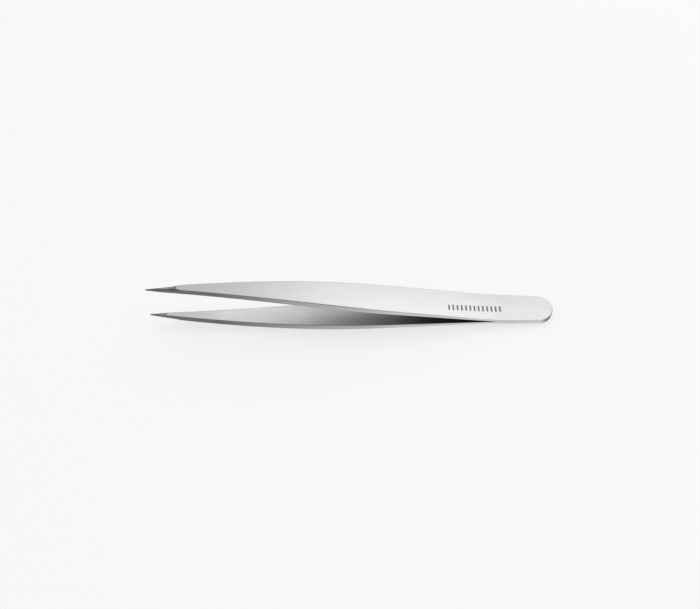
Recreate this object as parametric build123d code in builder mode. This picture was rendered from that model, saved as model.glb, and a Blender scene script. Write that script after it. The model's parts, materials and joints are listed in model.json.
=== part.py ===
from build123d import *

import os
from math import asin, atan2, cos, degrees, radians, sin, tan

# Straight-tip precision tweezers, in millimetres.
#
# Two steel strips are spot-welded together at the heel and spring apart towards fine
# points. The model lies the way the tweezers lie on a table: on the belly of the lower
# arm and on the heel end. +Z is up, +X runs from the tips to the heel, and the origin is
# at the centre of the footprint.
#
# Both arms are drawn in the tool's own frame: s runs from the tips (0) to the heel end,
# y is the width, and w is the height above the mid-plane in which the two strips meet.

# Outline seen from above, in the mid-plane
length = 120.0
body_width = 10.0  # parallel stretch
heel_width = 9.4  # across the rounded heel end
needle_width = 3.9  # where the straight-sided point ends
tip_width = 0.26
needle_length = 20.0  # straight-sided point, from the tips
full_width_from_tip = 72.0
heel_taper_length = 15.0  # from the heel end

# Side view of one strip
weld_pad_length = 17.0  # where the strips lie flat together
spring_end_from_heel = 22.0  # the strip is thin up to here
grip_start_from_tip = 62.0  # and at its full thickness from here
plate_thickness = 0.9
grip_thickness = 1.8
bend_radius = 30.0
splay_angle = 4.36  # degrees, of the straight inner face
bow_start_from_tip = 50.0  # the inner face bows inward ahead of this
closing_angle = 3.3  # degrees that each arm turns until the tips meet

# Ground point
facet_length = 5.0  # gripping facet on the inner face
grind_length = 9.0  # on the outer face
grind_thickness = 2.0  # where the outer grind starts, above the gripping facet's plane
tip_thickness = 0.3

# Flexure, reduced to a hinge in the thin part of each strip
flexure_from_heel = 25.0
knuckle_radius = 0.9

# Spot welds, wholly inside the heel
weld_diameter = 3.8
weld_depth = 0.5  # into each strip
weld_places_from_heel = (5.5, 12.0)

# Clearances and edges
tip_clearance = 0.02  # closed gripping facet to the mid-plane
knuckle_clearance = 0.03
edge_radius = 0.2  # outer edges of both strips

# Side view, as (s, w) points
splay_slope = tan(radians(splay_angle))
pad_front = length - weld_pad_length
spring_end = length - spring_end_from_heel
inner_at_spring_end = splay_slope * (pad_front - spring_end)
inner_at_grip = splay_slope * (pad_front - grip_start_from_tip)
bow_start = Vector(bow_start_from_tip, splay_slope * (pad_front - bow_start_from_tip))
outer_spring_end = Vector(spring_end, inner_at_spring_end + plate_thickness)
outer_grip_start = Vector(grip_start_from_tip, inner_at_grip + grip_thickness)
outer_run = outer_grip_start - outer_spring_end

# Plan view: where the sides swell out of the needle, and where they taper to the heel
swell = (full_width_from_tip - needle_length) / 3
taper_start = length - heel_taper_length
round_start = length - heel_width / 2
taper_middle = (taper_start + round_start) / 2

# The hinge axis is half-way through the strip's thickness
flexure_s = length - flexure_from_heel
flexure_inner = splay_slope * (pad_front - flexure_s)
flexure_outer = outer_spring_end.Y + (flexure_s - spring_end) * outer_run.Y / outer_run.X
flexure = Vector(flexure_s, (flexure_inner + flexure_outer) / 2)

# The gripping facet lies along the mid-plane when the arm has turned by closing_angle
closed_drop = flexure.Y - tip_clearance
facet_run = Vector(-cos(radians(closing_angle)), sin(radians(closing_angle)))
facet_foot = flexure + Vector(-facet_run.Y, facet_run.X) * closed_drop
tip_inner = facet_foot - facet_run * (facet_foot.X / facet_run.X)
facet_back = tip_inner - facet_run * facet_length
tip_outer = tip_inner + Vector(0, tip_thickness)
facet_slope = facet_run.Y / facet_run.X
grind_back = Vector(grind_length, tip_inner.Y + grind_length * facet_slope + grind_thickness)

bow = TangentArc(bow_start, facet_back, tangent=(-1, splay_slope))
belly = TangentArc(outer_grip_start, grind_back, tangent=outer_run)

# At rest the heel's lower corner and the belly of the lower arm touch the table
heel_corner = Vector(length, plate_thickness)
to_centre = heel_corner - belly.arc_center
rest_tilt = asin(belly.radius / to_centre.length) - atan2(to_centre.Y, to_centre.X)
x_low = -tip_outer.Y * sin(rest_tilt)
x_high = length * cos(rest_tilt) + plate_thickness * sin(rest_tilt)
mid_origin = Vector(
    -(x_low + x_high) / 2,
    0,
    length * sin(rest_tilt) + plate_thickness * cos(rest_tilt),
)
mid_plane = Plane(
    mid_origin,
    x_dir=(cos(rest_tilt), 0, -sin(rest_tilt)),
    z_dir=(sin(rest_tilt), 0, cos(rest_tilt)),
)
side_plane = Plane(mid_origin, x_dir=mid_plane.x_dir, z_dir=(0, -1, 0))


def tip_side(round_radius):
    """Side view of all that lies ahead of the hinge, ended by a round on its axis."""
    with BuildSketch(side_plane) as region:
        with Locations((flexure.X, flexure.Y)):
            Rectangle(length, length, align=(Align.MAX, Align.CENTER))
            Circle(round_radius)
    return region.sketch


# One whole strip, as it is before it is parted at the flexure
with BuildPart() as strip:
    with BuildSketch(side_plane) as side_view:
        with BuildLine():
            FilletPolyline(
                (length, 0),
                (pad_front, 0),
                bow_start,
                radius=bend_radius + plate_thickness,
            )
            add(bow)
            Polyline(facet_back, tip_inner, tip_outer, grind_back)
            add(belly)
            FilletPolyline(
                outer_grip_start,
                outer_spring_end,
                (pad_front, plate_thickness),
                heel_corner,
                radius=bend_radius,
            )
            Line(heel_corner, (length, 0))
        make_face()
    extrude(amount=body_width, both=True)
    with BuildSketch(mid_plane) as plan_view:
        with BuildLine():
            needle = Line((0, tip_width / 2), (needle_length, needle_width / 2))
            Bezier(
                needle @ 1,
                (needle @ 1) + (needle % 1) * (swell / (needle % 1).X),
                (full_width_from_tip - swell, body_width / 2),
                (full_width_from_tip, body_width / 2),
            )
            Line((full_width_from_tip, body_width / 2), (taper_start, body_width / 2))
            Bezier(
                (taper_start, body_width / 2),
                (taper_middle, body_width / 2),
                (taper_middle, heel_width / 2),
                (round_start, heel_width / 2),
            )
            TangentArc((round_start, heel_width / 2), (length, 0), tangent=(1, 0))
            mirror(about=Plane.XZ)
            Line((0, tip_width / 2), (0, -tip_width / 2))
        make_face()
    extrude(amount=length, both=True, mode=Mode.INTERSECT)

# Weld nuggets, one lens at each place, half in each strip
with BuildPart() as spot_welds:
    for place in weld_places_from_heel:
        weld_centre = length - place
        with BuildSketch(side_plane) as half_lens:
            with BuildLine():
                rim = (weld_centre + weld_diameter / 2, 0)
                TangentArc((weld_centre, weld_depth), rim, tangent=(1, 0))
                TangentArc((weld_centre, -weld_depth), rim, tangent=(1, 0))
                Line((weld_centre, weld_depth), (weld_centre, -weld_depth))
            make_face()
        revolve(axis=Axis(mid_plane.from_local_coords((weld_centre, 0, 0)), mid_plane.z_dir))
spot_welds.part.label = "spot_welds"

# Rear of the upper strip: the weld pad and the start of the spring
with BuildPart() as upper_heel:
    add(strip.part)
    extrude(
        tip_side(knuckle_radius + knuckle_clearance),
        amount=body_width,
        both=True,
        mode=Mode.SUBTRACT,
    )
    # The outer rim runs on smoothly from the round end along both sides
    end_rims = upper_heel.edges().group_by(Axis(mid_origin, mid_plane.x_dir))[-1]
    fillet(end_rims.sort_by(Axis(mid_origin, mid_plane.z_dir))[-1], edge_radius)
    add(spot_welds.part, mode=Mode.SUBTRACT)
upper_heel.part.label = "upper_heel"

# Front of the upper strip, from the flexure to the tip
with BuildPart() as upper_arm:
    add(strip.part)
    extrude(tip_side(knuckle_radius), amount=body_width, both=True, mode=Mode.INTERSECT)
    # Each outer rim runs on smoothly from the ground point, over the belly, to the flexure
    for side in (0, -1):
        belly_face = upper_arm.faces().filter_by(GeomType.CYLINDER).sort_by(Axis.Z)[-1]
        rims = belly_face.edges().filter_by(Axis.Y, reverse=True)
        fillet(rims.sort_by(Axis.Y)[side], edge_radius)
upper_arm.part.label = "upper_arm"

# The lower strip is the upper one mirrored in the mid-plane
with BuildPart() as lower_heel:
    mirror(upper_heel.part, about=mid_plane)
lower_heel.part.label = "lower_heel"

with BuildPart() as lower_arm:
    mirror(upper_arm.part, about=mid_plane)
lower_arm.part.label = "lower_arm"

os.makedirs("parts", exist_ok=True)
for piece in (upper_arm, lower_arm, upper_heel, lower_heel, spot_welds):
    export_step(piece.part, f"parts/{piece.part.label}.step")

flexure_up = mid_plane.from_local_coords((flexure.X, 0, flexure.Y))
flexure_down = mid_plane.from_local_coords((flexure.X, 0, -flexure.Y))
print("tip opening", round(2 * tip_inner.Y, 3), "rest tilt", round(degrees(rest_tilt), 3))
print("upper flexure axis at", flexure_up, "lower", flexure_down)
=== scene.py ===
import json
import math

import bmesh
import bpy
from mathutils import Matrix, Vector


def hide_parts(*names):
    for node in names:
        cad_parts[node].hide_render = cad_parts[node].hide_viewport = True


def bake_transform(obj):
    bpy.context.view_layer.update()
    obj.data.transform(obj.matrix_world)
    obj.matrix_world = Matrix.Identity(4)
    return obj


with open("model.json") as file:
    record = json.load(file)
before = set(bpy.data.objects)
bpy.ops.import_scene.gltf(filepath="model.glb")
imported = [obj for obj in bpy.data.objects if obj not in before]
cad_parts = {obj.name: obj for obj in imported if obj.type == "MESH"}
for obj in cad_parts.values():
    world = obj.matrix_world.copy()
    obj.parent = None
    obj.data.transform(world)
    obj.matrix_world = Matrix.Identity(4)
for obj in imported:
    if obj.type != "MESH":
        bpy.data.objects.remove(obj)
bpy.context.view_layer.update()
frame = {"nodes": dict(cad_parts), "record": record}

# Straight-tip precision tweezers in satin stainless steel, lying on a pale table.
#
# Each arm is one smooth strip of steel that replaces the CAD heel and arm, and bends at
# the flexure. Points on an arm are (s, y, w) in the tool's own frame, in metres: s runs
# from the tips to the heel end, y across the width, and w up from the mid-plane in which
# the two strips meet. The same sizes as in the CAD part are used throughout.

# ---------------------------------------------------------------- sizes, in metres
LENGTH = 0.120
BODY_WIDTH = 0.010
HEEL_WIDTH = 0.0094
NEEDLE_WIDTH = 0.0039
TIP_WIDTH = 0.00026
NEEDLE_LENGTH = 0.020
FULL_WIDTH_FROM_TIP = 0.072
HEEL_TAPER_LENGTH = 0.015

WELD_PAD_LENGTH = 0.017
SPRING_END_FROM_HEEL = 0.022
GRIP_START = 0.062
PLATE_THICKNESS = 0.0009
GRIP_THICKNESS = 0.0018
BEND_RADIUS = 0.030
SPLAY_SLOPE = math.tan(math.radians(4.36))
BOW_START = 0.050
CLOSING_ANGLE = math.radians(3.3)
FLEXURE_FROM_HEEL = 0.025
TIP_CLEARANCE = 0.00002

FACET_LENGTH = 0.005
GRIND_LENGTH = 0.009
GRIND_THICKNESS = 0.002
TIP_THICKNESS = 0.0003
TIP_ROUNDING = 0.00014

OUTER_RADIUS = (0.00012, 0.00024)  # rounded outer edges, at the needle and at the body
INNER_RADIUS = (0.00018, 0.00010)  # inner edges, at the needle and at the body
RADIUS_CHANGE = (0.030, 0.070)
SKIN = 0.00001  # how far the outer face and the heel end keep inside the CAD's facets
CROWN = 0.00010  # fall of the outer face from its middle to its edges, at full width
BEVEL_SHARE = 0.60  # of the half width that the bevels beside the point take
UPPER_BEVEL_SLOPE = 0.85  # fall of a bevel over its width
LOWER_BEVEL_SLOPE = 0.40
BEVEL_RUNOUT = (0.0080, 0.0106)  # where a bevel runs out into the rounded edge

ROUNDING_LIMITS = (0.25, 0.20)  # a rounding's most, of the half width and of the thickness
BEVEL_LIMIT = 0.55  # a bevel's most fall, of the thickness
BEVEL_TURNS_ROUND = 0.25  # the last share of its runout, in which a bevel turns into a rounding

MOUNT_FROM_HEEL = 0.008  # the record's heel faces are stated this far from the heel end

# ---------------------------------------------------------------- the tool's frame
mounts = {mount["name"]: mount for mount in frame["record"]["mounts"]}
UP = Vector(mounts["upper_heel_face"]["axis"]).normalized()
ACROSS = Vector((0, 1, 0))
ALONG = ACROSS.cross(UP)
heel_faces = [Vector(mounts[name]["pos_m"]) for name in ("upper_heel_face", "lower_heel_face")]
TIPS = (heel_faces[0] + heel_faces[1]) / 2 - ALONG * (LENGTH - MOUNT_FROM_HEEL)


def in_row(s, y, w):
    """The point (s, y, w) of the tool's frame, in the row frame."""
    return TIPS + ALONG * s + ACROSS * y + UP * w


# ---------------------------------------------------------------- side view
def ramp(run, slope, reach):
    """A line that starts to rise at run 0, rounded over reach on both sides of it."""
    if run <= -reach:
        return 0.0
    if run >= reach:
        return slope * run
    return slope * (run + reach) ** 2 / (4 * reach)


def arc_height(start, slope, end):
    """Height along the circle that leaves start at slope, going towards the tip, and meets end."""
    run, rise = start[0] - end[0], end[1] - start[1]
    unit = math.hypot(1, slope)
    off_tangent = (slope * run - rise) / unit
    radius = (run * run + rise * rise) / (2 * off_tangent)
    centre_s = start[0] - radius * slope / unit
    centre_w = start[1] - radius / unit
    return lambda s: centre_w + math.sqrt(radius**2 - (s - centre_s) ** 2)


PAD_FRONT = LENGTH - WELD_PAD_LENGTH
SPRING_END = LENGTH - SPRING_END_FROM_HEEL
PAD_BEND = BEND_RADIUS * math.tan(math.atan(SPLAY_SLOPE) / 2)

outer_at_spring = SPLAY_SLOPE * (PAD_FRONT - SPRING_END) + PLATE_THICKNESS
outer_at_grip = SPLAY_SLOPE * (PAD_FRONT - GRIP_START) + GRIP_THICKNESS
OUTER_SLOPE = (outer_at_grip - outer_at_spring) / (SPRING_END - GRIP_START)
SPRING_BEND = BEND_RADIUS * (OUTER_SLOPE - SPLAY_SLOPE) / 2

flexure_s = LENGTH - FLEXURE_FROM_HEEL
flexure_w = (SPLAY_SLOPE * (PAD_FRONT - flexure_s) + outer_at_spring) / 2
flexure_w += (SPRING_END - flexure_s) * OUTER_SLOPE / 2

# The gripping facet lies in the mid-plane once the arm has closed
facet_slope = math.tan(CLOSING_ANGLE)
facet_drop = (flexure_w - TIP_CLEARANCE) / math.cos(CLOSING_ANGLE)
TIP_INNER = flexure_w + flexure_s * facet_slope - facet_drop
FACET_BACK = FACET_LENGTH * math.cos(CLOSING_ANGLE)
facet_back_w = TIP_INNER - FACET_BACK * facet_slope
grind_back_w = TIP_INNER - GRIND_LENGTH * facet_slope + GRIND_THICKNESS
TIP_OUTER = TIP_INNER + TIP_THICKNESS

bow_start_w = SPLAY_SLOPE * (PAD_FRONT - BOW_START)
bow = arc_height((BOW_START, bow_start_w), SPLAY_SLOPE, (FACET_BACK, facet_back_w))
belly = arc_height((GRIP_START, outer_at_grip), OUTER_SLOPE, (GRIND_LENGTH, grind_back_w))


def inner_height(s):
    """Height of the inner face above the mid-plane."""
    if s < FACET_BACK:
        return TIP_INNER - s * facet_slope
    if s < BOW_START:
        return bow(s)
    return ramp(PAD_FRONT - s, SPLAY_SLOPE, PAD_BEND)


def outer_height(s, y=0.0):
    """Height of the outer face above the mid-plane, with its crown."""
    fall = SKIN + CROWN * (2 * y / BODY_WIDTH) ** 2
    if s < GRIND_LENGTH:
        return TIP_OUTER + (grind_back_w - TIP_OUTER) * s / GRIND_LENGTH - fall
    if s < GRIP_START:
        return belly(s) - fall
    rise = ramp(PAD_FRONT - s, SPLAY_SLOPE, PAD_BEND)
    rise += ramp(SPRING_END - s, OUTER_SLOPE - SPLAY_SLOPE, SPRING_BEND)
    return PLATE_THICKNESS + rise - fall


# ---------------------------------------------------------------- plan view
FACET_STEP, GRIND_STEP, BODY_STEP = 0.0004, 0.0003, 0.0006  # between stations along the strip
RUNOUT_STEPS = (0.00012, 0.00015)  # before and after the grind's back
CREASE_REACH = 0.000015
SLOPE_REACH = 0.00001
TIP_STATIONS = (0, 0.05, 0.2, 0.5, 1)  # of the tip's rounding
TIP_FLAT = 0.2  # of the tip's height and width, left flat at its very end
HEEL_STEPS = 28

ROUND_START = LENGTH - HEEL_WIDTH / 2 - SKIN
TAPER_START = LENGTH - HEEL_TAPER_LENGTH
needle_slope = (NEEDLE_WIDTH - TIP_WIDTH) / (2 * NEEDLE_LENGTH)


def half_width(s):
    """Half of the strip's width."""
    if s <= NEEDLE_LENGTH:
        return TIP_WIDTH / 2 + s * needle_slope
    if s <= FULL_WIDTH_FROM_TIP:
        span = FULL_WIDTH_FROM_TIP - NEEDLE_LENGTH
        t = (s - NEEDLE_LENGTH) / span
        start, stop = NEEDLE_WIDTH / 2, BODY_WIDTH / 2
        swell = (2 * t**3 - 3 * t**2 + 1) * start + (3 * t**2 - 2 * t**3) * stop
        return swell + (t**3 - 2 * t**2 + t) * span * needle_slope
    t = min(max((s - TAPER_START) / (ROUND_START - TAPER_START), 0), 1)
    return (BODY_WIDTH + (HEEL_WIDTH - BODY_WIDTH) * t * t * (3 - 2 * t)) / 2


def outline():
    """Half of the plan outline from tip to heel end, as (s, y, normal s, normal y, tip scale)."""
    runout_start, runout_stop = BEVEL_RUNOUT
    places = [TIP_ROUNDING * share for share in TIP_STATIONS]
    places += spread(TIP_ROUNDING, FACET_BACK, FACET_STEP) + crease(FACET_BACK)
    places += spread(FACET_BACK, runout_start, GRIND_STEP) + [runout_start]
    places += spread(runout_start, GRIND_LENGTH, RUNOUT_STEPS[0]) + crease(GRIND_LENGTH)
    places += spread(GRIND_LENGTH, runout_stop, RUNOUT_STEPS[1]) + [runout_stop]
    places += spread(runout_stop, ROUND_START, BODY_STEP)
    points = []
    for s in sorted(places):
        rise = half_width(s + SLOPE_REACH) - half_width(max(s - SLOPE_REACH, 0))
        slope = rise / (2 * SLOPE_REACH)
        size = math.hypot(1, slope)
        share = min(s / TIP_ROUNDING, 1)
        scale = max(math.sqrt(1 - (1 - share) ** 2), TIP_FLAT)
        points.append((s, half_width(s), -slope / size, 1 / size, scale))
    reach = HEEL_WIDTH / 2
    for i in range(HEEL_STEPS + 1):
        turn = math.pi / 2 * i / HEEL_STEPS
        points.append((
            ROUND_START + reach * math.sin(turn),
            reach * math.cos(turn) if i < HEEL_STEPS else 0.0,
            math.sin(turn),
            math.cos(turn),
            1.0,
        ))
    return points


def spread(start, stop, step):
    """Places strictly between start and stop, about step apart."""
    count = max(int(round((stop - start) / step)), 1)
    return [start + (stop - start) * i / count for i in range(1, count)]


def crease(place):
    """Three stations that hold a crisp crease."""
    return [place - CREASE_REACH, place, place + CREASE_REACH]


# ---------------------------------------------------------------- one strip as a closed mesh
# Where the points lie, as shares: over a bevel, across a face, and down the side
BEVEL_STEPS = (0, 0.04, 0.10, 0.30, 0.50, 0.70, 0.90, 0.96, 1)
FACE_STEPS = (0, 0.012, 0.12, 0.25, 0.38, 0.5, 0.62, 0.75, 0.88, 0.988, 1)
SIDE_STEPS = (0.08, 0.5, 0.92)
OUTER_ROUND_STEPS = len(BEVEL_STEPS) - 1  # a bevel turns into a rounding, point by point
INNER_ROUND_STEPS = 4
MERGE_DISTANCE = 2e-7
SHORTEST_EDGE = 1e-8


def rounding(s, radii):
    """Edge radius at s, limited by the strip's width and thickness."""
    start, stop = RADIUS_CHANGE
    share = min(max((s - start) / (stop - start), 0), 1)
    wanted = radii[0] + (radii[1] - radii[0]) * share
    of_width, of_thickness = ROUNDING_LIMITS
    thickness = outer_height(s) - inner_height(s)
    return min(wanted, of_width * half_width(s), of_thickness * thickness)


def outer_edge(s, bevel_slope):
    """Profile of the outer edge, as (inset, fall) pairs from the face down to the side."""
    thickness = outer_height(s) - inner_height(s)
    radius = rounding(s, OUTER_RADIUS)
    start, stop = BEVEL_RUNOUT
    bevel = min(max((stop - s) / (stop - start), 0), 1)
    inset = radius + (BEVEL_SHARE * half_width(s) - radius) * bevel
    fall = radius + (min(bevel_slope * inset, BEVEL_LIMIT * thickness) - radius) * bevel
    flatness = min(bevel / BEVEL_TURNS_ROUND, 1)
    profile = []
    for i, share in enumerate(BEVEL_STEPS):
        turn = math.pi / 2 * i / OUTER_ROUND_STEPS
        rounded = (1 - math.sin(turn), 1 - math.cos(turn))
        flat = (1 - share, share)
        profile.append((
            inset * (rounded[0] * (1 - flatness) + flat[0] * flatness),
            fall * (rounded[1] * (1 - flatness) + flat[1] * flatness),
        ))
    return profile


def inner_edge(s):
    """Profile of the inner edge, as (inset, rise) pairs from the side down to the face."""
    radius = rounding(s, INNER_RADIUS)
    turns = [math.pi / 2 * i / INNER_ROUND_STEPS for i in range(INNER_ROUND_STEPS + 1)]
    return [(radius * (1 - math.cos(turn)), radius * (1 - math.sin(turn))) for turn in turns]


def half_ring(place, side, bevel_slope):
    """Edge and side of the strip at one place of the outline, from outer face to inner face."""
    s, y, normal_s, normal_y, scale = place
    outer, inner = outer_edge(s, bevel_slope), inner_edge(s)

    def moved_in(inset):
        return s - normal_s * inset, max(y - normal_y * inset, 0.0) * scale

    points = []
    for inset, fall in outer:
        at_s, at_y = moved_in(inset)
        points.append([at_s, side * at_y, outer_height(at_s, at_y) - fall])
    kinds = ["outer_edge"] * (len(points) - 1) + ["side"]
    top, bottom = points[-1][2], inner_height(s) + inner[0][1]
    for share in SIDE_STEPS:
        points.append([s, side * y * scale, top + (bottom - top) * share])
        kinds.append("side")
    for inset, rise in inner:
        at_s, at_y = moved_in(inset)
        points.append([at_s, side * at_y, inner_height(at_s) + rise])
        kinds.append("inner_edge")
    if scale < 1:
        middle = (outer_height(s) + inner_height(s)) / 2
        for point in points:
            point[2] = middle + (point[2] - middle) * scale
    return points, kinds


def ring(place, bevel_slope):
    """A closed ring of points round the strip, and the kind of surface that follows each."""
    far, kinds = half_ring(place, 1, bevel_slope)
    near, _ = half_ring(place, -1, bevel_slope)
    scale = place[4]
    middle = (outer_height(place[0]) + inner_height(place[0])) / 2
    points, names = [], []
    for share in FACE_STEPS[:-1]:
        s = near[0][0]
        y = near[0][1] + (far[0][1] - near[0][1]) * share
        w = outer_height(s, y)
        points.append((s, y, middle + (w - middle) * scale))
        names.append("outer")
    points += [tuple(point) for point in far]
    names += kinds[:-1] + ["inner"]
    for share in FACE_STEPS[1:-1]:
        s = far[-1][0]
        y = far[-1][1] + (near[-1][1] - far[-1][1]) * share
        points.append((s, y, middle + (inner_height(s) - middle) * scale))
        names.append("inner")
    points += [tuple(point) for point in reversed(near[1:])]
    names += list(reversed(kinds[:-1]))
    return points, names


# Places in the strips' list of materials, and how far from the tip each surface is ground
SLOTS = {"outer": 0, "inner": 1, "side": 2, "outer_edge": 3, "inner_edge": 3}
GROUND_SLOT = 4
GROUND_UP_TO = {"outer": GRIND_LENGTH, "outer_edge": BEVEL_RUNOUT[1], "inner": FACET_BACK}


def strip(name, sign, bevel_slope, materials):
    """One arm: a closed mesh lofted through its rings, with sign 1 above the mid-plane."""
    mesh = bpy.data.meshes.new(name)
    build = bmesh.new()
    rest = build.verts.layers.float_vector.new("place")
    rings, names = [], []
    for place in outline():
        points, names = ring(place, bevel_slope)
        row = []
        for s, y, w in points:
            vertex = build.verts.new(in_row(s, y, sign * w))
            vertex[rest] = Vector((s, y, sign * w))
            row.append(vertex)
        rings.append(row)
    count = len(rings[0])
    for front, back in zip(rings, rings[1:]):
        for i in range(count):
            j = (i + 1) % count
            corners = (front[i], back[i], back[j], front[j])
            face = build.faces.new(corners if sign > 0 else corners[::-1])
            s = (front[i][rest].x + back[i][rest].x) / 2
            is_ground = s < GROUND_UP_TO.get(names[i], 0)
            face.material_index = GROUND_SLOT if is_ground else SLOTS[names[i]]
            face.smooth = True
    cap = build.faces.new(rings[0][::-1] if sign < 0 else rings[0])
    cap.material_index = GROUND_SLOT
    bmesh.ops.remove_doubles(build, verts=build.verts, dist=MERGE_DISTANCE)
    bmesh.ops.dissolve_degenerate(build, edges=build.edges, dist=SHORTEST_EDGE)
    bmesh.ops.recalc_face_normals(build, faces=build.faces)
    build.to_mesh(mesh)
    build.free()
    for material in materials:
        mesh.materials.append(material)
    piece = bpy.data.objects.new(name, mesh)
    bpy.context.scene.collection.objects.link(piece)
    return piece


# ---------------------------------------------------------------- materials
def node(tree, kind, **settings):
    """A new shader node with its settings."""
    made = tree.nodes.new(kind)
    for key, value in settings.items():
        setattr(made, key, value)
    return made


def strip_place(tree):
    """The strip's own coordinates (s, y, w), which its mesh keeps in every pose."""
    return node(tree, "ShaderNodeAttribute", attribute_name="place").outputs["Vector"]


def noise(tree, place, stretch, detail, rough=0.55, offset=(0, 0, 0)):
    """Noise over a place in metres. stretch is in cycles per metre along its three axes."""
    mapping = node(tree, "ShaderNodeMapping")
    mapping.inputs["Scale"].default_value = stretch
    mapping.inputs["Location"].default_value = offset
    texture = node(tree, "ShaderNodeTexNoise")
    texture.inputs["Scale"].default_value = 1.0
    texture.inputs["Detail"].default_value = detail
    texture.inputs["Roughness"].default_value = rough
    tree.links.new(place, mapping.inputs["Vector"])
    tree.links.new(mapping.outputs["Vector"], texture.inputs["Vector"])
    return texture.outputs["Fac"]


def to_range(tree, value, low, high, start=0.3, stop=0.7):
    """Maps start..stop of a value to low..high."""
    made = node(tree, "ShaderNodeMapRange")
    made.inputs["From Min"].default_value = start
    made.inputs["From Max"].default_value = stop
    made.inputs["To Min"].default_value = low
    made.inputs["To Max"].default_value = high
    tree.links.new(value, made.inputs["Value"])
    return made.outputs["Result"]


def mix_colours(tree, factor, dark, light):
    """From dark at factor 0 to light at factor 1."""
    made = node(tree, "ShaderNodeMix", data_type="RGBA")
    made.inputs["A"].default_value = (*dark, 1)
    made.inputs["B"].default_value = (*light, 1)
    tree.links.new(factor, made.inputs["Factor"])
    return made.outputs["Result"]


def painted_light_along_strip(tree, stops):
    """Grey that changes from tip to heel, through (s, value) stops; it carries painted shade,
    highlight and reflection as well as the steel's own grey.
    """
    split = node(tree, "ShaderNodeSeparateXYZ")
    tree.links.new(strip_place(tree), split.inputs["Vector"])
    share = to_range(tree, split.outputs["X"], 0, 1, 0, LENGTH)
    ramp_node = node(tree, "ShaderNodeValToRGB")
    elements = ramp_node.color_ramp.elements
    while len(elements) < len(stops):
        elements.new(1.0)
    for element, (s, value) in zip(elements, stops):
        element.position = s / LENGTH
        element.color = (value, value, value, 1)
    tree.links.new(share, ramp_node.inputs["Fac"])
    return ramp_node.outputs["Color"]


MEAN_TINT = 0.90
LIGHT_BLUE_SHARE = 0.994  # the lightest steel is a trace warmer than grey
SCRATCH_SCALE = 6  # scratches are this much finer than the brush streaks
FINISH_RANGE = (0.1, 0.9)  # of the finish, over which roughness changes
CLOUD_SHARE, STREAK_SHARE, SCRATCH_SHARE = 0.34, 0.36, 0.30  # of the finish's contrast


def added(tree, value, share, so_far):
    """so_far plus a share of a noise value's usual range."""
    made = node(tree, "ShaderNodeMath", operation="MULTIPLY_ADD")
    made.inputs[1].default_value = share
    tree.links.new(to_range(tree, value, 0, 1), made.inputs[0])
    tree.links.new(so_far, made.inputs[2])
    return made.outputs[0]


def steel(name, grey_and_painted_light, contrast, roughness, brush, bump, mottle=(90, 260, 260)):
    """Stainless steel: a grey along the strip, holding the steel's own grey and painted shade,
    highlight and reflection, times brush marks and cloudy patches of finish.

    bump is the scratches' (strength, depth), and mottle the patches' cycles per metre.
    """
    material = bpy.data.materials.new(name)
    material.use_nodes = True
    tree = material.node_tree
    shader = tree.nodes["Principled BSDF"]
    shader.inputs["Metallic"].default_value = 1.0
    place = strip_place(tree)
    clouds = to_range(tree, noise(tree, place, mottle, 4), 0, CLOUD_SHARE)
    streaks = noise(tree, place, brush, 8, 0.6, (3, 1, 2))
    scratches = noise(tree, place, [SCRATCH_SCALE * x for x in brush], 3, 0.7, (7, 5, 4))
    finish = added(tree, streaks, STREAK_SHARE, clouds)
    finish = added(tree, scratches, SCRATCH_SHARE, finish)
    dark, light = MEAN_TINT - contrast / 2, MEAN_TINT + contrast / 2
    tint = mix_colours(tree, finish, (dark,) * 3, (light, light, LIGHT_BLUE_SHARE * light))
    colour = node(tree, "ShaderNodeMix", data_type="RGBA", blend_type="MULTIPLY")
    colour.inputs["Factor"].default_value = 1.0
    tree.links.new(painted_light_along_strip(tree, grey_and_painted_light), colour.inputs["A"])
    tree.links.new(tint, colour.inputs["B"])
    tree.links.new(colour.outputs["Result"], shader.inputs["Base Color"])
    rough = to_range(tree, finish, *roughness, *FINISH_RANGE)
    tree.links.new(rough, shader.inputs["Roughness"])
    relief = node(tree, "ShaderNodeBump")
    relief.inputs["Strength"].default_value = bump[0]
    relief.inputs["Distance"].default_value = bump[1]
    tree.links.new(scratches, relief.inputs["Height"])
    tree.links.new(relief.outputs["Normal"], shader.inputs["Normal"])
    return material


# Brush streaks, in cycles per metre along (s, y, w)
ALONG_BRUSH = (25, 1500, 1500)
SIDE_BRUSH = (60, 1200, 1200)
RIM_BRUSH = (90, 1500, 1500)
ACROSS_BRUSH = (1500, 120, 900)
INNER_MOTTLE = (140, 420, 420)

# Grey along each surface, as (s, grey): the steel's own grey with painted shade, highlight and
# reflection along the strip
# Outer faces: the steel's own grey, with painted light a little lighter at mid-length and painted
# shade darker towards the heel
OUTER_GREY_AND_PAINTED_LIGHT = ((0.009, 0.62), (0.024, 0.625), (0.040, 0.65), (0.060, 0.65), (0.090, 0.635),
                (0.104, 0.59), (LENGTH, 0.59))
# Inner faces: painted brighter reflection near the needles, then painted shade falling to near
# black towards the heel, in the narrowing gap between the arms
INNER_GREY_AND_PAINTED_SHADE = ((0.005, 0.62), (0.016, 0.71), (0.022, 0.80), (0.032, 0.79), (0.044, 0.70),
                (0.052, 0.58), (0.060, 0.50), (0.072, 0.38), (0.082, 0.19), (0.095, 0.15))
# Sides: painted dark reflection, darkest near the point and lightening towards the heel, and a
# painted dark band round the rounded heel end
SIDE_GREY_AND_PAINTED_REFLECTION = ((0.010, 0.18), (0.020, 0.17), (0.030, 0.28), (0.042, 0.42), (0.058, 0.54),
               (0.074, 0.66), (0.096, 0.76), (0.1158, 0.76), (0.1178, 0.16), (LENGTH, 0.16))
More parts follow.
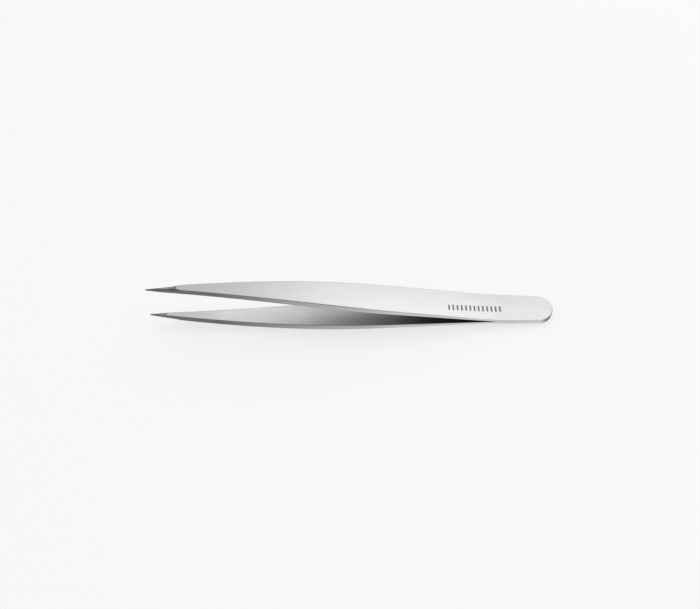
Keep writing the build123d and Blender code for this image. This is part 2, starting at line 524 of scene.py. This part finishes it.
# Rounded edges: a painted dark line along the front half, lighter towards the heel, and painted
# dark round the heel end
RIM_GREY_AND_PAINTED_SHADE = ((0.020, 0.25), (0.042, 0.25), (0.056, 0.33), (0.072, 0.60), (0.090, 0.70),
              (0.1158, 0.70), (0.1180, 0.18), (LENGTH, 0.18))
# Ground facets at the point: the duller grey of ground steel, with painted shade at the very tip
# and towards the back of the bevels
GROUND_GREY_AND_PAINTED_SHADE = ((0.0, 0.18), (0.003, 0.26), (0.0055, 0.42), (0.007, 0.35), (0.009, 0.25))
face_steel = steel("satin_steel_face", OUTER_GREY_AND_PAINTED_LIGHT, contrast=0.20, roughness=(0.34, 0.44),
                   brush=ALONG_BRUSH, bump=(0.5, 0.00002))
inner_steel = steel("satin_steel_inner", INNER_GREY_AND_PAINTED_SHADE, contrast=0.26, roughness=(0.40, 0.52),
                    brush=ALONG_BRUSH, bump=(0.5, 0.00002), mottle=INNER_MOTTLE)
side_steel = steel("satin_steel_side", SIDE_GREY_AND_PAINTED_REFLECTION, contrast=0.28, roughness=(0.30, 0.42),
                   brush=SIDE_BRUSH, bump=(0.5, 0.00002))
rim_steel = steel("satin_steel_rim", RIM_GREY_AND_PAINTED_SHADE, contrast=0.22, roughness=(0.24, 0.34),
                  brush=RIM_BRUSH, bump=(0.3, 0.00001))
ground_steel = steel("ground_steel", GROUND_GREY_AND_PAINTED_SHADE, contrast=0.30, roughness=(0.26, 0.38),
                     brush=ACROSS_BRUSH, bump=(0.5, 0.00001))


def grained(name, metallic, place_of, grain_size, dark, light, roughness):
    """Metal with a fine even grain, between a dark and a light grey."""
    material = bpy.data.materials.new(name)
    material.use_nodes = True
    tree = material.node_tree
    shader = tree.nodes["Principled BSDF"]
    shader.inputs["Metallic"].default_value = metallic
    grain = noise(tree, place_of(tree), (1 / grain_size,) * 3, 3)
    tint = mix_colours(tree, to_range(tree, grain, 0, 1), (dark,) * 3, (light,) * 3)
    tree.links.new(tint, shader.inputs["Base Color"])
    tree.links.new(to_range(tree, grain, *roughness), shader.inputs["Roughness"])
    return material


def object_place(tree):
    """Place in the row frame, for a CAD node, whose mesh lies where it belongs."""
    return node(tree, "ShaderNodeTexCoord").outputs["Object"]


# Dull oxide left by electro-etching, and the matt steel of a weld nugget
etched_oxide = grained("etched_oxide", metallic=0.6, place_of=strip_place, grain_size=0.00011,
                       dark=0.10, light=0.26, roughness=(0.50, 0.70))
weld_steel = grained("weld_steel", metallic=1.0, place_of=object_place, grain_size=0.0004,
                     dark=0.30, light=0.46, roughness=(0.45, 0.60))


# ---------------------------------------------------------------- etched mark
MARK_START, MARK_STOP = 0.0885, 0.1040
MARK_CENTRE = -0.0012
MARK_TILT = 0.05  # rise of the row towards the far edge, per length along the strip
MARK_HEIGHT = 0.0021
MARK_BAR = 0.00052
MARK_BARS = 13
MARK_RELIEF = 0.000008
MARK_END_STEPS = 6  # round a bar's end


def etched_mark(material):
    """A row of plain bars with round ends, on the outer face of the upper arm."""
    mesh = bpy.data.meshes.new("etched_mark")
    build = bmesh.new()
    rest = build.verts.layers.float_vector.new("place")
    radius = MARK_BAR / 2
    straight = MARK_HEIGHT / 2 - radius
    turns = [math.pi * i / MARK_END_STEPS for i in range(MARK_END_STEPS + 1)]
    end = [(radius * math.cos(turn), straight + radius * math.sin(turn)) for turn in turns]
    loop = end + [(-x, -y) for x, y in end]
    for bar in range(MARK_BARS):
        centre = MARK_START + (MARK_STOP - MARK_START) * bar / (MARK_BARS - 1)
        levels = []
        for relief in (-MARK_RELIEF, MARK_RELIEF):
            row = []
            for x, y in loop:
                s = centre + x
                across = MARK_CENTRE + MARK_TILT * (s - (MARK_START + MARK_STOP) / 2) + y
                w = outer_height(s, across) + relief
                vertex = build.verts.new(in_row(s, across, w))
                vertex[rest] = Vector((s, across, w))
                row.append(vertex)
            levels.append(row)
        below, above = levels
        build.faces.new(above)
        build.faces.new(below[::-1])
        for i in range(len(loop)):
            j = (i + 1) % len(loop)
            build.faces.new((below[i], below[j], above[j], above[i]))
    bmesh.ops.recalc_face_normals(build, faces=build.faces)
    build.to_mesh(mesh)
    build.free()
    mesh.materials.append(material)
    piece = bpy.data.objects.new("etched_mark", mesh)
    bpy.context.scene.collection.objects.link(piece)
    return piece


# ---------------------------------------------------------------- the pieces
steels = [face_steel, inner_steel, side_steel, rim_steel, ground_steel]
for name, sign, slope in (("upper", 1, UPPER_BEVEL_SLOPE), ("lower", -1, LOWER_BEVEL_SLOPE)):
    arm = strip(f"{name}_strip", sign, slope, steels)
    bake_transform(arm)
    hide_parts(f"{name}_heel", f"{name}_arm")

mark = etched_mark(etched_oxide)
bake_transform(mark)

welds = frame["nodes"]["spot_welds"]
welds.data.materials.clear()
welds.data.materials.append(weld_steel)

# ---------------------------------------------------------------- table
FLOOR_SIZE = 6.0
FLOOR_PAINT = (0.36, 0.36, 0.36)
FLOOR_GLOW = 0.65


def table_top():
    """One large pale plane under the object."""
    mesh = bpy.data.meshes.new("table")
    half = FLOOR_SIZE / 2
    corners = [(-half, -half, 0), (half, -half, 0), (half, half, 0), (-half, half, 0)]
    mesh.from_pydata(corners, [], [(0, 1, 2, 3)])
    table = bpy.data.objects.new("table", mesh)
    bpy.context.scene.collection.objects.link(table)
    material = bpy.data.materials.new("table_paint")
    material.use_nodes = True
    tree = material.node_tree
    shader = tree.nodes["Principled BSDF"]
    shader.inputs["Specular IOR Level"].default_value = 0.0
    shader.inputs["Roughness"].default_value = 1.0
    shader.inputs["Base Color"].default_value = (*FLOOR_PAINT, 1)
    shader.inputs["Emission Color"].default_value = (1, 1, 1, 1)
    shader.inputs["Emission Strength"].default_value = FLOOR_GLOW
    table.data.materials.append(material)


table_top()

# ---------------------------------------------------------------- light
HORIZON_LIGHT = 0.92
BACK_LIGHT = 0.84
FRONT_LIGHT = 0.24
HORIZON_BAND = (math.radians(8), math.radians(30))
BACK_TO_FRONT = (-0.5, 0.5)  # of the direction's y, over which the tent changes


def world_light():
    """A pale tent: bright at the horizon, paler behind the object than in front of it."""
    world = bpy.data.worlds.new("studio")
    world.use_nodes = True
    tree = world.node_tree
    direction = node(tree, "ShaderNodeTexCoord")
    split = node(tree, "ShaderNodeSeparateXYZ")
    tree.links.new(direction.outputs["Generated"], split.inputs["Vector"])
    behind = to_range(tree, split.outputs["Y"], FRONT_LIGHT, BACK_LIGHT, *BACK_TO_FRONT)
    low, high = (math.sin(angle) for angle in HORIZON_BAND)
    above = to_range(tree, split.outputs["Z"], 0, 1, low, high)
    mixed = node(tree, "ShaderNodeMix")
    mixed.inputs["A"].default_value = HORIZON_LIGHT
    tree.links.new(behind, mixed.inputs["B"])
    tree.links.new(above, mixed.inputs["Factor"])
    back = tree.nodes["Background"]
    back.inputs["Color"].default_value = (1, 1, 1, 1)
    tree.links.new(mixed.outputs["Result"], back.inputs["Strength"])
    bpy.context.scene.world = world


def softbox(name, size, distance, lift, side, radiance):
    """A soft panel facing the object, lifted from behind over the top and swung to the right."""
    light = bpy.data.lights.new(name, "AREA")
    light.shape = "RECTANGLE"
    light.size, light.size_y = size
    light.energy = radiance * math.pi * size[0] * size[1]
    rightward = Vector((1, 0, 0))
    behind = Vector((0, math.cos(lift), math.sin(lift)))
    away = rightward * math.sin(side) + behind * math.cos(side)
    across = rightward * math.cos(side) - behind * math.sin(side)
    lamp = bpy.data.objects.new(name, light)
    turn = Matrix((across, away.cross(across), away)).transposed()
    lamp.matrix_world = Matrix.Translation(away * distance) @ turn.to_4x4()
    bpy.context.scene.collection.objects.link(lamp)


world_light()
softbox("key_softbox", size=(1.15, 1.8), distance=1.4, lift=math.radians(75),
        side=math.radians(28), radiance=1.11)

# ---------------------------------------------------------------- camera
CAMERA_ELEVATION = math.radians(50.0)  # above the tool's mid-plane
CAMERA_AZIMUTH = math.radians(-4.5)
CAMERA_ROLL = math.radians(-4.5)
CAMERA_DISTANCE = 0.2475
CAMERA_SHIFT = (0.00068, -0.00045)  # of the tool's middle, right of and above the picture's middle
SENSOR_WIDTH = 36.0
FOCAL_LENGTH = 42.9
CLIP = (0.01, 20)


def photo_camera():
    """Looks at the middle of the tool, with directions given in the tool's own frame."""
    flat = ALONG * math.cos(CAMERA_AZIMUTH) + ACROSS * math.sin(CAMERA_AZIMUTH)
    away = ALONG * -math.sin(CAMERA_AZIMUTH) + ACROSS * math.cos(CAMERA_AZIMUTH)
    back = UP * math.sin(CAMERA_ELEVATION) - away * math.cos(CAMERA_ELEVATION)
    above = UP * math.cos(CAMERA_ELEVATION) + away * math.sin(CAMERA_ELEVATION)
    place = in_row(LENGTH / 2, 0, 0) + back * CAMERA_DISTANCE
    place -= flat * CAMERA_SHIFT[0] + above * CAMERA_SHIFT[1]
    right = flat * math.cos(CAMERA_ROLL) - above * math.sin(CAMERA_ROLL)
    upward = flat * math.sin(CAMERA_ROLL) + above * math.cos(CAMERA_ROLL)
    data = bpy.data.cameras.new("camera")
    data.sensor_width = SENSOR_WIDTH
    data.lens = FOCAL_LENGTH
    data.clip_start, data.clip_end = CLIP
    camera = bpy.data.objects.new("camera", data)
    camera.matrix_world = Matrix((
        (right.x, upward.x, back.x, place.x),
        (right.y, upward.y, back.y, place.y),
        (right.z, upward.z, back.z, place.z),
        (0, 0, 0, 1),
    ))
    bpy.context.scene.collection.objects.link(camera)
    bpy.context.scene.camera = camera


photo_camera()
bpy.context.scene.view_settings.view_transform = "Standard"
